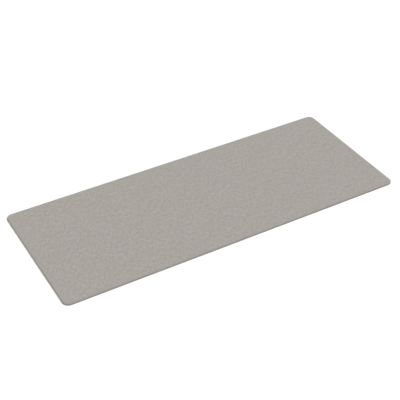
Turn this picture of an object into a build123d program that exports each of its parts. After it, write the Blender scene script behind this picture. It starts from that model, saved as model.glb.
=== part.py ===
from build123d import *
import os

# Anti fatigue mat, laid flat. All lengths are in millimetres. +X runs along the mat, +Y across it and
# +Z up. The origin is on the floor, under the middle of the mat.

# ---------- driving dimensions ----------

mat_length = 1500.0
mat_width = 600.0
mat_thickness = 9.5
corner_radius = 27.0  # plan radius of the mat's four corners

side_height = 5.0  # the straight side, from the floor up to the cover's lip
shoulder_run = 8.0  # how far in from the side the cover is rolled over

base_thickness = 1.5
band_width = 6.0  # of the edge band, in plan
band_joint_gap = 0.3  # between the two cut ends of the edge band
film_thickness = 0.1  # of each bonding film
scrim_thickness = 0.4
cover_thickness = 1.2

# ---------- levels, from the floor up ----------

base_top = base_thickness
base_film_top = base_top + film_thickness
scrim_top = side_height  # level with the top of the edge band, so that the upper foam lies on both
scrim_bottom = scrim_top - scrim_thickness
cover_underside = mat_thickness - cover_thickness
foam_inset = cover_thickness + film_thickness  # of the upper foam, from the mat's outer surface
foam_top = mat_thickness - foam_inset

# ---------- shapes that several pieces share ----------


def outline(inset):
    """The mat's plan outline, moved inwards by inset."""
    return RectangleRounded(
        mat_length - 2 * inset,
        mat_width - 2 * inset,
        corner_radius - inset,
    )


def layer(inset, bottom, top):
    """A flat sheet with square-cut edges."""
    return Pos(0, 0, bottom) * extrude(outline(inset), top - bottom)


def rolled_slab(inset, bottom, top):
    """A slab whose upper edge is rolled over in a quarter ellipse.

    The ellipse ends at the same distance from the mat's side for every inset, so slabs with
    different insets nest in each other with an even wall between them.
    """
    run = shoulder_run - inset
    rise = top - bottom
    path = outline(shoulder_run).wire()
    forward = path % 0
    outward = forward.cross(Vector(0, 0, 1))
    plane = Plane(origin=path @ 0, x_dir=outward, z_dir=-forward)
    roll = EllipticalCenterArc((0, 0), run, rise, arc_size=90)
    section = make_face([Line((0, 0), roll @ 0), roll, Line(roll @ 1, (0, 0))])
    rim = sweep(plane * section, path=path)
    middle = extrude(outline(shoulder_run), rise)
    return Pos(0, 0, bottom) * (middle + rim)


# ---------- pieces ----------


def make_grip_base():
    """Non-slip sheet that lies on the floor, cut to the mat's full outline."""
    return layer(0, 0, base_top)


def make_edge_band():
    """Strip round the side, bent round the corners, its two ends meeting on the +Y side."""
    ring = layer(0, base_top, side_height) - layer(band_width, base_top, side_height)
    joint_cut = Box(band_joint_gap, 3 * band_width, 3 * mat_thickness)
    return ring - Pos(0, mat_width / 2, 0) * joint_cut


def make_base_bond_film():
    """Film that bonds the foam core to the base, inside the edge band."""
    return layer(band_width, base_top, base_film_top)


def make_support_foam():
    """Lower, firmer foam layer, inside the edge band."""
    return layer(band_width, base_film_top, scrim_bottom)


def make_reinforcing_scrim():
    """Mesh between the two foam layers, level with the top of the edge band."""
    return layer(band_width, scrim_bottom, scrim_top)


def make_comfort_foam():
    """Upper, softer foam layer. It reaches out over the edge band and fills the rolled shoulder."""
    return rolled_slab(foam_inset, side_height, foam_top)


def make_cover_bond_film():
    """Film that bonds the cover to the upper foam, over the top and down the shoulder."""
    outside = rolled_slab(cover_thickness, side_height, cover_underside)
    return outside - make_comfort_foam()


def make_top_cover():
    """Skin over the top and down the shoulder, with its lip on the edge band."""
    outside = rolled_slab(0, side_height, mat_thickness)
    inside = rolled_slab(cover_thickness, side_height, cover_underside)
    return outside - inside


pieces = {
    "grip_base": make_grip_base,
    "base_bond_film": make_base_bond_film,
    "support_foam": make_support_foam,
    "reinforcing_scrim": make_reinforcing_scrim,
    "comfort_foam": make_comfort_foam,
    "cover_bond_film": make_cover_bond_film,
    "top_cover": make_top_cover,
    "edge_band": make_edge_band,
}

os.makedirs("parts", exist_ok=True)
for name, make in pieces.items():
    piece = make()
    piece.label = name
    export_step(piece, f"parts/{name}.step")
    print(f"{name}: {len(piece.solids())} solid, {piece.volume / 1000:.1f} cm3")
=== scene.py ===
"""The looks of the anti fatigue mat: every layer as its own detailed piece, with its material, the
floor, the lights and the camera. Lengths are in metres, +X runs along the mat, +Y across it, +Z up."""

import math
import random

import bpy
from mathutils import Matrix, Vector, noise
from mathutils.geometry import delaunay_2d_cdt


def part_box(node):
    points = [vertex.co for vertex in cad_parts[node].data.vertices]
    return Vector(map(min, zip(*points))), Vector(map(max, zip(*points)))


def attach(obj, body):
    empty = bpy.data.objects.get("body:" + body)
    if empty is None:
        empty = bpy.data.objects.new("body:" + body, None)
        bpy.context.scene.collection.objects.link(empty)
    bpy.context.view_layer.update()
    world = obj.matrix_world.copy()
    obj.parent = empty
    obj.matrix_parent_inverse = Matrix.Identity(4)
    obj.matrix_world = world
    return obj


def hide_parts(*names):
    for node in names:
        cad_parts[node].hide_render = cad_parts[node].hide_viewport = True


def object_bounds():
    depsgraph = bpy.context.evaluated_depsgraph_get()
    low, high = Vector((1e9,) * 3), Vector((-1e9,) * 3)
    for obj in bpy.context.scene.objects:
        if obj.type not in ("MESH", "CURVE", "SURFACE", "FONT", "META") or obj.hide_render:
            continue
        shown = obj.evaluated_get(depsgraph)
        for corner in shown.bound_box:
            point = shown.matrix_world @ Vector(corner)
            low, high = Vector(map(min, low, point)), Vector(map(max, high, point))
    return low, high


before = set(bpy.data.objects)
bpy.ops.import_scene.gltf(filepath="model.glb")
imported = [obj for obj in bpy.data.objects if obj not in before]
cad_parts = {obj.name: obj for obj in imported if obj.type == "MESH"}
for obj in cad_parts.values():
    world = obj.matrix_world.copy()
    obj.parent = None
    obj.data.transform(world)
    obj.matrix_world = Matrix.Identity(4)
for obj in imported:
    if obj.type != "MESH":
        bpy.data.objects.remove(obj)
cad_low, cad_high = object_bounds()

MM = 0.001

# ---------- sizes ----------

# From the frame: the mat's outer size, the levels of its layers and how far in each one starts.
half_length = cad_high.x
half_width = cad_high.y
mat_top = cad_high.z
base_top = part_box("grip_base")[1].z
side_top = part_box("edge_band")[1].z
support_low, support_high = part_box("support_foam")
scrim_low, scrim_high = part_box("reinforcing_scrim")
foam_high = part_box("comfort_foam")[1]
film_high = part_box("cover_bond_film")[1]
core_inset = half_length - support_high.x
foam_inset = half_length - foam_high.x
skin_thickness = half_length - film_high.x

# The same values as in the CAD source.
corner_radius = 27 * MM
shoulder_run = 8 * MM
band_joint_gap = 0.3 * MM

# The centres of the corners, and so the ends of the straight sides.
core_x = half_length - corner_radius
core_y = half_width - corner_radius

# ---------- mesh building ----------


class Surface:
    """The points and faces of one piece, gathered until they become an object."""

    def __init__(self):
        self.points = []
        self.faces = []
        self.tones = {}

    def add(self, points):
        """Adds points and returns their numbers."""
        first = len(self.points)
        self.points.extend(Vector(p) for p in points)
        return list(range(first, len(self.points)))

    def skin(self, lower, upper, closed=True):
        """Quads between two loops, facing out when upper is above lower and both run counter-clockwise."""
        count = len(lower)
        for k in range(count if closed else count - 1):
            n = (k + 1) % count
            self.faces.append((lower[k], lower[n], upper[n], upper[k]))

    def skins(self, loops, closed=True):
        """Quads from each loop to the next."""
        for lower, upper in zip(loops, loops[1:]):
            self.skin(lower, upper, closed)

    def fill(self, rim, inner=(), holes=(), up=True):
        """Triangles over the area inside rim, through the inner points and round the holes."""
        numbers = [*rim, *inner]
        outlines = [list(range(len(rim)))]
        for hole in holes:
            outlines.append(list(range(len(numbers), len(numbers) + len(hole))))
            numbers += hole
        flat = [self.points[n].xy for n in numbers]
        _, _, triangles, origins, _, areas = delaunay_2d_cdt(flat, [], outlines, 1, 1e-9, True)
        for triangle, lies_in in zip(triangles, areas):
            if lies_in == [0]:  # in the rim's area alone, and so in no hole
                corners = [numbers[origins[k][0]] for k in triangle]
                self.faces.append(corners if up else corners[::-1])

    def piece(self, name, material, node, slot, smooth_below=35):
        """The finished object, in place of its CAD node.

        Edges sharper than smooth_below degrees stay crisp.
        """
        mesh = bpy.data.meshes.new(name)
        mesh.from_pydata(self.points, [], self.faces)
        if self.tones:
            tone = mesh.attributes.new("tone", "FLOAT", "POINT")
            for n, value in self.tones.items():
                tone.data[n].value = value
        mesh.validate()
        mesh.shade_smooth()
        mesh.set_sharp_from_angle(angle=math.radians(smooth_below))
        mesh.materials.append(material)
        made = bpy.data.objects.new(name, mesh)
        bpy.context.scene.collection.objects.link(made)
        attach(made, "root")
        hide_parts(node)
        return made


class Shell(Surface):
    """A surface made of loops that follow the mat's outline."""

    def __init__(self, spacing, joint_gap=0.0):
        """spacing is the distance between points along the straight sides."""
        super().__init__()
        self.stations = outline_stations(spacing, joint_gap)

    def loop(self, inset, height):
        """The mat's outline, moved inwards by inset, at that height."""
        reach = corner_radius - inset
        return self.add((*(centre + outward * reach), height) for centre, outward in self.stations)

    def flat_fill(self, rim, up=True):
        """Triangles over a flat area, with an even lattice of points inside it."""
        spacing = 25 * MM
        inset = half_length - max(self.points[n].x for n in rim)
        height = self.points[rim[0]].z
        inner = [
            (x, y, height)
            for x, y, _ in lattice(half_length, half_width, spacing)
            if inside_outline(x, y, inset + spacing / 2)
        ]
        self.fill(rim, self.add(inner), up=up)


def outline_stations(spacing, joint_gap=0.0):
    """Places round the outline, counter-clockwise from above: a centre, and the way out from it.

    The walk starts in the middle of the +Y side. A centre moves along the straight sides and stays
    still round each corner. With a joint gap the walk ends that far short of where it starts.
    """
    corners = [(-core_x, core_y), (-core_x, -core_y), (core_x, -core_y), (core_x, core_y)]
    turn_steps = 28
    spots = []
    at = Vector((-joint_gap / 2, core_y))
    facing = math.pi / 2
    for corner in map(Vector, corners):
        spots += [(p, facing) for p in walk(at, corner, spacing)]
        spots += [(corner, facing + math.pi / 2 * k / turn_steps) for k in range(turn_steps)]
        facing += math.pi / 2
        at = corner
    end = Vector((joint_gap / 2, core_y))
    spots += [(p, facing) for p in walk(at, end, spacing)]
    if joint_gap:
        spots.append((end, facing))
    return [(p, Vector((math.cos(angle), math.sin(angle)))) for p, angle in spots]


def walk(start, end, spacing):
    """Even points from start to just before end."""
    count = math.ceil((end - start).length / spacing)
    return [start.lerp(end, k / count) for k in range(count)]


def lattice(reach_x, reach_y, spacing):
    """Points of an even triangular lattice, each with a number from 0 to 2 that no neighbour shares."""
    row_height = spacing * math.sqrt(3) / 2
    rows = math.ceil(reach_y / row_height)
    for row in range(-rows, rows + 1):
        columns = math.ceil((reach_x + abs(row) * spacing / 2) / spacing)
        for column in range(-columns, columns + 1):
            x = (column + row / 2) * spacing
            if abs(x) <= reach_x:
                yield x, row * row_height, (column - row) % 3


def inside_outline(x, y, inset):
    """True where a point in plan is at least inset inside the mat's side."""
    past_x = max(abs(x) - core_x, 0)
    past_y = max(abs(y) - core_y, 0)
    if past_x and past_y:
        return math.hypot(past_x, past_y) <= corner_radius - inset
    return max(past_x, past_y) <= corner_radius - inset


def reach_along(offset, core, side_core, inset):
    """How far the outline, moved inwards by inset, reaches from the middle of the mat at that offset
    to one side. core and side_core say where the corner's centre is, along and across."""
    radius = corner_radius - inset
    past = max(abs(offset) - side_core, 0)
    return core + math.sqrt(max(radius**2 - past**2, 0))


def shoulder(inset, top, start_height, steps):
    """(inset, height) down the rolled shoulder of a layer, from start_height up to its flat top."""
    run = shoulder_run - inset
    rise = top - side_top
    first = math.asin((start_height - side_top) / rise)
    angles = [first + (math.pi / 2 - first) * k / steps for k in range(steps + 1)]
    return [(shoulder_run - run * math.cos(a), side_top + rise * math.sin(a)) for a in angles]


# ---------- materials ----------


class Paint:
    """A node material under construction, around one Principled shader."""

    def __init__(self, name):
        self.material = bpy.data.materials.new(name)
        self.material.use_nodes = True
        self.tree = self.material.node_tree
        self.shader = self.tree.nodes["Principled BSDF"]
        self.place = self.node("ShaderNodeTexCoord").outputs["Object"]

    def node(self, kind, **settings):
        """A new node of that kind, with those properties."""
        made = self.tree.nodes.new(kind)
        for key, value in settings.items():
            setattr(made, key, value)
        return made

    def link(self, source, target):
        """Feeds one node's output to another's input."""
        self.tree.links.new(source, target)

    def stretched(self, scale):
        """The object's coordinates, scaled apart along X, Y and Z."""
        mapping = self.node("ShaderNodeMapping")
        mapping.inputs["Scale"].default_value = scale
        self.link(self.place, mapping.inputs["Vector"])
        return mapping.outputs["Vector"]

    def noise(self, feature, detail=2.0, roughness=0.5, place=None):
        """Smooth noise whose features are about that large, in metres."""
        made = self.node("ShaderNodeTexNoise")
        made.inputs["Scale"].default_value = 1 / feature
        made.inputs["Detail"].default_value = detail
        made.inputs["Roughness"].default_value = roughness
        self.link(place or self.place, made.inputs["Vector"])
        return made.outputs["Fac"]

    def tone(self):
        """The tone that a piece's mesh code gave each of its points, from 0 to 1."""
        return self.node("ShaderNodeAttribute", attribute_name="tone").outputs["Fac"]

    def cells(self, size):
        """How far the nearest edge is, in a pattern of irregular cells about that large."""
        made = self.node("ShaderNodeTexVoronoi", feature="DISTANCE_TO_EDGE")
        made.inputs["Scale"].default_value = 1 / size
        self.link(self.place, made.inputs["Vector"])
        return made.outputs["Distance"]

    def span(self, value, low, high, from_low=0.0, from_high=1.0, kind="LINEAR"):
        """A value spread from one range to another."""
        made = self.node("ShaderNodeMapRange", interpolation_type=kind)
        made.inputs["From Min"].default_value = from_low
        made.inputs["From Max"].default_value = from_high
        made.inputs["To Min"].default_value = low
        made.inputs["To Max"].default_value = high
        self.link(value, made.inputs["Value"])
        return made.outputs["Result"]

    def pick(self, share, first, second):
        """One value where share is 0, the other where it is 1."""
        made = self.node("ShaderNodeMix", data_type="FLOAT")
        self.link(share, made.inputs[0])
        self.link(first, made.inputs[2])
        self.link(second, made.inputs[3])
        return made.outputs[0]

    def blend(self, share, first, second):
        """One colour where share is 0, the other where it is 1. Each is a colour or another node's output."""
        made = self.node("ShaderNodeMix", data_type="RGBA")
        self.link(share, made.inputs["Factor"])
        for socket, colour in ((made.inputs[6], first), (made.inputs[7], second)):
            if isinstance(colour, bpy.types.NodeSocket):
                self.link(colour, socket)
            else:
                socket.default_value = (*colour, 1)
        return made.outputs[2]

    def darken(self, colour, share, factor):
        """The colour, times that factor where share is 1."""
        made = self.node("ShaderNodeMix", data_type="RGBA", blend_type="MULTIPLY")
        self.link(share, made.inputs["Factor"])
        self.link(colour, made.inputs[6])
        made.inputs[7].default_value = (factor, factor, factor, 1)
        return made.outputs[2]

    def bump(self, height, depth, below=None):
        """Relief of that depth, in metres, on top of any relief below it."""
        made = self.node("ShaderNodeBump")
        made.inputs["Strength"].default_value = 1
        made.inputs["Distance"].default_value = depth
        self.link(height, made.inputs["Height"])
        if below is not None:
            self.link(below, made.inputs["Normal"])
        return made.outputs["Normal"]

    def finish(self, colour, roughness, normal, specular=0.5):
        """The finished material, from the outputs that its shader takes."""
        self.link(colour, self.shader.inputs["Base Color"])
        self.link(roughness, self.shader.inputs["Roughness"])
        self.link(normal, self.shader.inputs["Normal"])
        self.shader.inputs["Specular IOR Level"].default_value = specular
        return self.material


def shade(colour, factor):
    """A colour made darker or lighter."""
    return tuple(channel * factor for channel in colour)


def cover_vinyl():
    """Warm light grey matt vinyl, mottled, with a leather grain pressed into its pebbles.

    It turns a darker, cooler grey over the rolled rim, where the tone is low: painted shade on the shoulder.
    """
    grey = (0.379, 0.354, 0.325)
    # painted shade: the darker, cooler grey of the rolled rim
    rim_shade_grey = (0.257, 0.263, 0.256)
    paint = Paint("cover_vinyl")
    grain = paint.span(paint.cells(2.0 * MM), 0, 1, -0.05, 0.3, "SMOOTHSTEP")
    pores = paint.noise(0.5 * MM, detail=3, roughness=0.6)
    tone = paint.tone()
    mottle = paint.blend(tone, shade(grey, 0.68), shade(grey, 1.32))
    clear_of_rim_shade = paint.span(tone, 0, 1, 0, 0.35)  # 0 at the lip, where the painted rim shade is darkest
    vinyl = paint.blend(clear_of_rim_shade, rim_shade_grey, mottle)
    # painted shade: the colour is darker in the recessed grooves of the leather grain
    colour = paint.darken(vinyl, paint.span(grain, 1, 0), 0.86)
    normal = paint.bump(pores, 0.05 * MM, below=paint.bump(grain, 0.12 * MM))
    roughness = paint.span(pores, 0.58, 0.78)
    return paint.finish(colour, roughness, normal, specular=0.35)


def edge_vinyl():
    """Darker grey extruded strip, with faint lines along its length. The grey is partly its own darker colour
    and partly painted shade of the dimly lit side.
    """
    # partly the strip's own darker grey, partly painted shade of the side
    grey = (0.275, 0.267, 0.249)
    paint = Paint("edge_vinyl")
    lines = paint.noise(0.35 * MM, detail=2, place=paint.stretched((0.01, 0.01, 1)))
    specks = paint.noise(0.6 * MM, detail=3)
    colour = paint.blend(paint.span(specks, 0, 1, 0.3, 0.7), shade(grey, 0.93), shade(grey, 1.07))
    normal = paint.bump(specks, 0.02 * MM, below=paint.bump(lines, 0.03 * MM))
    return paint.finish(colour, paint.span(specks, 0.5, 0.7), normal, specular=0.35)


def base_vinyl():
    """Darker grey non-slip vinyl with a matt, slightly tacky skin. The grey is partly its own darker colour
    and partly painted shade of the dimly lit side.
    """
    # partly the sheet's own darker grey, partly painted shade of the side
    grey = (0.262, 0.254, 0.237)
    paint = Paint("base_vinyl")
    specks = paint.noise(0.8 * MM, detail=4)
    colour = paint.blend(paint.span(specks, 0, 1, 0.3, 0.7), shade(grey, 0.92), shade(grey, 1.08))
    normal = paint.bump(specks, 0.03 * MM)
    return paint.finish(colour, paint.span(specks, 0.6, 0.8), normal, specular=0.3)


def foam(name, light, cell):
    """Closed-cell foam: packed bubbles of about that size, cut open, with thin walls between them. The
    hollows are darkened: painted shade.
    """
    paint = Paint(name)
    hollows = paint.span(paint.cells(cell), 0, 1, 0.02, 0.3, "SMOOTHSTEP")
    density = paint.noise(6 * cell, detail=4, roughness=0.6)
    walls = paint.blend(density, shade(light, 0.88), shade(light, 1.06))
    # painted shade: darker in the hollows of the cut bubbles
    colour = paint.darken(walls, hollows, 0.72)
    normal = paint.bump(paint.span(hollows, 1, 0), 0.3 * cell)
    return paint.finish(colour, paint.span(hollows, 0.8, 0.95), normal, specular=0.2)


def scrim_yarn():
    """Off-white glass yarn, its filaments showing as fine lines along it.

    The tone is 1 on a yarn that runs along the mat, and 0 on one that runs across it.
    """
    white = (0.76, 0.76, 0.73)
    paint = Paint("scrim_yarn")
    lines_across = paint.noise(0.12 * MM, detail=2, place=paint.stretched((1, 0.03, 1)))
    lines_along = paint.noise(0.12 * MM, detail=2, place=paint.stretched((0.03, 1, 1)))
    filaments = paint.pick(paint.tone(), lines_across, lines_along)
    colour = paint.blend(paint.span(filaments, 0, 1, 0.3, 0.7), shade(white, 0.72), white)
    return paint.finish(colour, paint.span(filaments, 0.35, 0.55), paint.bump(filaments, 0.06 * MM))


def bond_film():
    """Thin milky hot-melt film, slightly uneven where it has flowed."""
    cream = (0.70, 0.66, 0.56)
    paint = Paint("bond_film")
    flow = paint.noise(12 * MM, detail=4)
    colour = paint.blend(flow, shade(cream, 0.88), cream)
    return paint.finish(colour, paint.span(flow, 0.3, 0.5), paint.bump(flow, 0.05 * MM))


# ---------- pieces ----------


def pebble(rng, kind, x, y):
    """(how deep, how light) a point of the pebble grain is.

    One kind of lattice point is a pebble's crown, and the other two lie in the valleys round it.
    The lightness changes in patches of a few pebbles, and a little from point to point.
    """
    patch = noise.noise(Vector((x / 8, y / 14, 0)) / MM)  # a little longer across the mat than along it
    light = 0.5 + 0.215 * patch + rng.uniform(-0.09, 0.09)
    deep = rng.uniform(0.0, 0.35) if kind == 0 else rng.uniform(0.7, 1.0)
    return deep, light


def make_cover(material):
    """The skin that one stands on: pebbled top, rolled shoulder, and a lip on the edge band."""
    pebble_spacing = 3.7 * MM
    pebble_depth = 0.3 * MM
    pebble_shift = 0.22 * pebble_spacing  # how far a pebble may stray from its place in the lattice
    relief_start = 0.4  # how far up the roll the pebble relief starts
    lip_round = 0.3 * MM
    rim_shade = 0.48  # how much the tone falls from the top to the lip: painted shade down the rolled shoulder
    rng = random.Random(7)
    shell = Shell(spacing=4 * MM)

    lip = [(skin_thickness, side_top), (lip_round, side_top), (lip_round * 0.3, side_top + lip_round * 0.3)]
    rolled = shoulder(0, mat_top, side_top + lip_round, 9)
    outside = [shell.loop(inset, height) for inset, height in lip + rolled]
    shell.skins(outside)
    for step, loop in enumerate(outside):
        up_the_roll = step / (len(outside) - 1)
        for n in loop:
            point = shell.points[n]
            high = 0.5 + 0.5 * noise.noise(point / (4 * MM))
            if up_the_roll > relief_start:
                point.z -= pebble_depth * (1 - high)
            # the tone falls down the roll towards the lip: painted shade
            shell.tones[n] = 0.5 + 0.4 * (high - 0.5) - rim_shade * (1 - up_the_roll)

    inner = []
    for x, y, kind in lattice(half_length, half_width, pebble_spacing):
        if inside_outline(x, y, shoulder_run + 0.6 * pebble_spacing):
            deep, light = pebble(rng, kind, x, y)
            x += rng.uniform(-pebble_shift, pebble_shift)
            y += rng.uniform(-pebble_shift, pebble_shift)
            inner += shell.add([(x, y, mat_top - pebble_depth * deep)])
            shell.tones[inner[-1]] = light
    shell.fill(outside[-1], inner)

    under = shoulder(skin_thickness, mat_top - skin_thickness, side_top, 5)
    inside = [outside[0]] + [shell.loop(inset, height) for inset, height in under[1:]]
    shell.skins(inside[::-1])
    shell.flat_fill(inside[-1], up=False)
    piece = shell.piece("cover_skin", material, "top_cover", "cover_vinyl")


def softened(low, high, inset, soft):
    """(inset, height) up a straight side from low to high, its two edges softened."""
    return [
        (inset + soft, low),
        (inset + soft * 0.3, low + soft * 0.3),
        (inset, low + soft),
        (inset, high - soft),
        (inset + soft * 0.3, high - soft * 0.3),
        (inset + soft, high),
    ]


def make_edge_band(material):
    """The strip round the side, with softened edges and a butt joint on the +Y side."""
    shell = Shell(spacing=15 * MM, joint_gap=band_joint_gap)
    outer = softened(base_top, side_top, 0, 0.3 * MM)
    section = [(core_inset, base_top), *outer, (core_inset, side_top)]
    loops = [shell.loop(inset, height) for inset, height in section]
    shell.skins(loops + loops[:1], closed=False)
    shell.faces.append([loop[0] for loop in loops])
    shell.faces.append([loop[-1] for loop in loops][::-1])
    shell.piece("edge_band_strip", material, "edge_band", "edge_vinyl")


def make_base(material):
    """The sheet on the floor, with honeycomb cells pressed into its underside that grip like weak suckers."""
    pitch = 18 * MM
    mouth_width = pitch - 2.4 * MM  # what the ribs between the cells leave
    wall_width = mouth_width - 0.5 * MM
    floor_width = mouth_width - 2.5 * MM
    depth = 0.6 * MM
    plain_rim = 6 * MM
    shell = Shell(spacing=15 * MM)
    loops = [shell.loop(inset, height) for inset, height in softened(0, base_top, 0, 0.2 * MM)]
    shell.skins(loops)
    shell.flat_fill(loops[-1])

    cells = []
    for x, y, _ in lattice(half_length, half_width, pitch):
        mouth = hexagon(x, y, 0, mouth_width)
        if all(inside_outline(*corner[:2], plain_rim) for corner in mouth):
            rim = shell.add(mouth)
            wall = shell.add(hexagon(x, y, depth * 0.7, wall_width))
            floor = shell.add(hexagon(x, y, depth, floor_width))
            shell.skins([floor, wall, rim])
            shell.faces.append(floor[::-1])
            cells.append(rim)
    shell.fill(loops[0], holes=cells, up=False)
    piece = shell.piece("grip_base_sheet", material, "grip_base", "base_vinyl")


def hexagon(x, y, height, across):
    """Corners of a hexagon, counter-clockwise from above. across is from side to side."""
    reach = across / 2 / math.cos(math.radians(30))
    turns = [math.radians(30 + 60 * k) for k in range(6)]
    return [(x + reach * math.cos(turn), y + reach * math.sin(turn), height) for turn in turns]


def make_foam(name, node, material, slot, levels):
    """A foam layer: levels are the (inset, height) of its loops from the bottom up."""
    shell = Shell(spacing=15 * MM)
    loops = [shell.loop(inset, height) for inset, height in levels]
    shell.skins(loops)
    shell.flat_fill(loops[0], up=False)
    shell.flat_fill(loops[-1])
    shell.piece(name, material, node, slot)


def add_yarn(surface, path, across, width, thickness):
    """A flat closed yarn along a path. across is the direction of its width."""
    up = Vector((0, 0, thickness / 2))
    turns = [math.radians(60 * k) for k in range(6)]
    ring = [across * (width / 2 * math.cos(turn)) + up * math.sin(turn) for turn in turns]
    loops = [surface.add(point + offset for offset in ring) for point in path]
    for loop in loops:
        surface.tones.update(dict.fromkeys(loop, abs(across.y)))
    surface.skins(loops)
    surface.faces.append(loops[0][::-1])
    surface.faces.append(loops[-1])


def make_scrim(material):
    """A leno mesh: straight weft yarns across the mat, held by pairs of warp yarns along it.

    One yarn of a pair passes under every weft. The other passes over each weft, first on one side of
    its partner and then on the other, and under its partner in between.
    """
    pitch = 16 * MM
    weft_width = 2.4 * MM
    warp_width = 1.4 * MM
    sway = 1.1 * MM
    thickness = (scrim_high.z - scrim_low.z) / 3
    middle = (scrim_high.z + scrim_low.z) / 2
    along = Vector((1, 0, 0))
    across = Vector((0, 1, 0))
    surface = Surface()

    wefts = math.floor((half_length - core_inset - pitch / 4) / pitch)
    for column in range(-wefts, wefts + 1):
        reach = reach_along(column * pitch, core_y, core_x, core_inset)
        ends = [Vector((column * pitch, y, middle)) for y in (reach, -reach)]
        add_yarn(surface, ends, along, weft_width, thickness)

    pairs = math.floor((half_width - core_inset - pitch / 4) / pitch)
    for row in range(-pairs, pairs + 1):
        reach = reach_along(row * pitch, core_x, core_y, core_inset)
        under = [Vector((-reach, row * pitch, middle))]
        over = [Vector((-reach, row * pitch, middle - thickness))]
        for half_step in range(-2 * wefts, 2 * wefts + 1):
            x = half_step * pitch / 2
            if abs(x) > reach - pitch / 4:
                continue
            crossing = half_step % 2 == 0
            side = sway if half_step % 4 == 0 else -sway
            under.append(Vector((x, row * pitch, middle - thickness if crossing else middle)))
            if crossing:
                over.append(Vector((x, row * pitch + side, middle + thickness)))
            else:
                over.append(Vector((x, row * pitch, middle - thickness)))
        under.append(Vector((reach, row * pitch, middle)))
        over.append(Vector((reach, row * pitch, middle - thickness)))
        add_yarn(surface, under, across, warp_width, thickness)
        add_yarn(surface, over, across, warp_width, thickness)

    piece = surface.piece("reinforcing_mesh", material, "reinforcing_scrim", "scrim_yarn", smooth_below=70)


def finish_films(material):
    """The two bonding films keep their CAD shape."""
    for name in ("base_bond_film", "cover_bond_film"):
        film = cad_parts[name]
        film.data.materials.clear()
        film.data.materials.append(material)


# ---------- floor, lights and camera ----------


def make_floor():
    """Wide plain white floor, just under the mat."""
    reach = 40
    mesh = bpy.data.meshes.new("floor")
    corners = [(-reach, -reach, 0), (reach, -reach, 0), (reach, reach, 0), (-reach, reach, 0)]
    mesh.from_pydata(corners, [], [(0, 1, 2, 3)])
    white = bpy.data.materials.new("floor_white")
    white.use_nodes = True
    shader = white.node_tree.nodes["Principled BSDF"]
    shader.inputs["Base Color"].default_value = (0.95, 0.95, 0.95, 1)
    shader.inputs["Roughness"].default_value = 1
    shader.inputs["Specular IOR Level"].default_value = 0
    mesh.materials.append(white)
    floor = bpy.data.objects.new("floor", mesh)
    floor.location.z = -0.2 * MM
    bpy.context.scene.collection.objects.link(floor)


def make_sky():
    """A white wall all round the horizon, and a dimmer, even ceiling."""
    world = bpy.data.worlds.new("studio")
    world.use_nodes = True
    tree = world.node_tree
    direction = tree.nodes.new("ShaderNodeTexCoord").outputs["Generated"]
    split = tree.nodes.new("ShaderNodeSeparateXYZ")
    fade = tree.nodes.new("ShaderNodeMapRange")
    for name, value in {"From Min": 0.18, "From Max": 0.32, "To Min": 1.03, "To Max": 0.36}.items():
        fade.inputs[name].default_value = value
    background = tree.nodes["Background"]
    tree.links.new(direction, split.inputs[0])
    tree.links.new(split.outputs["Z"], fade.inputs["Value"])
    tree.links.new(fade.outputs["Result"], background.inputs["Strength"])
    background.inputs["Color"].default_value = (1, 1, 1, 1)
    bpy.context.scene.world = world


def make_soft_sun():
    """Wide overhead light, from a little in front of the mat."""
    lamp = bpy.data.lights.new("soft_sun", "SUN")
    lamp.energy = 2.3
    lamp.angle = math.radians(50)
    sun = bpy.data.objects.new("soft_sun", lamp)
    toward = Vector((0.03, -0.22, 0.97))
    sun.rotation_euler = toward.to_track_quat("Z", "Y").to_euler()
    bpy.context.scene.collection.objects.link(sun)


def make_camera():
    """Long lens, looking down on the mat from the front left."""
    azimuth = math.radians(-29.96)
    elevation = math.radians(37.45)
    roll = math.radians(-0.06)
    distance = 3.8912
    target = Vector((-0.0130, 0.0073, 0))
    back = Vector((
        math.sin(azimuth) * math.cos(elevation),
        -math.cos(azimuth) * math.cos(elevation),
        math.sin(elevation),
    ))
    lens = bpy.data.cameras.new("camera")
    lens.sensor_width = 36
    lens.lens = 85
    camera = bpy.data.objects.new("camera", lens)
    turn = (-back).to_track_quat("-Z", "Y").to_matrix().to_4x4()
    camera.matrix_world = Matrix.Translation(target + back * distance) @ turn @ Matrix.Rotation(roll, 4, "Z")
    bpy.context.scene.collection.objects.link(camera)
    bpy.context.scene.camera = camera


bpy.context.scene.view_settings.view_transform = "Standard"
make_camera()
make_sky()
make_soft_sun()
make_floor()

make_cover(cover_vinyl())
make_edge_band(edge_vinyl())
make_base(base_vinyl())
make_foam(
    "support_foam_pad", "support_foam", foam("firm_foam", (0.3, 0.3, 0.3), 0.8 * MM), "firm_foam",
    [(core_inset, support_low.z), (core_inset, support_high.z)],
)
make_foam(
    "comfort_foam_pad", "comfort_foam", foam("soft_foam", (0.62, 0.6, 0.56), 1.2 * MM), "soft_foam",
    shoulder(foam_inset, foam_high.z, side_top, 8),
)
make_scrim(scrim_yarn())
finish_films(bond_film())
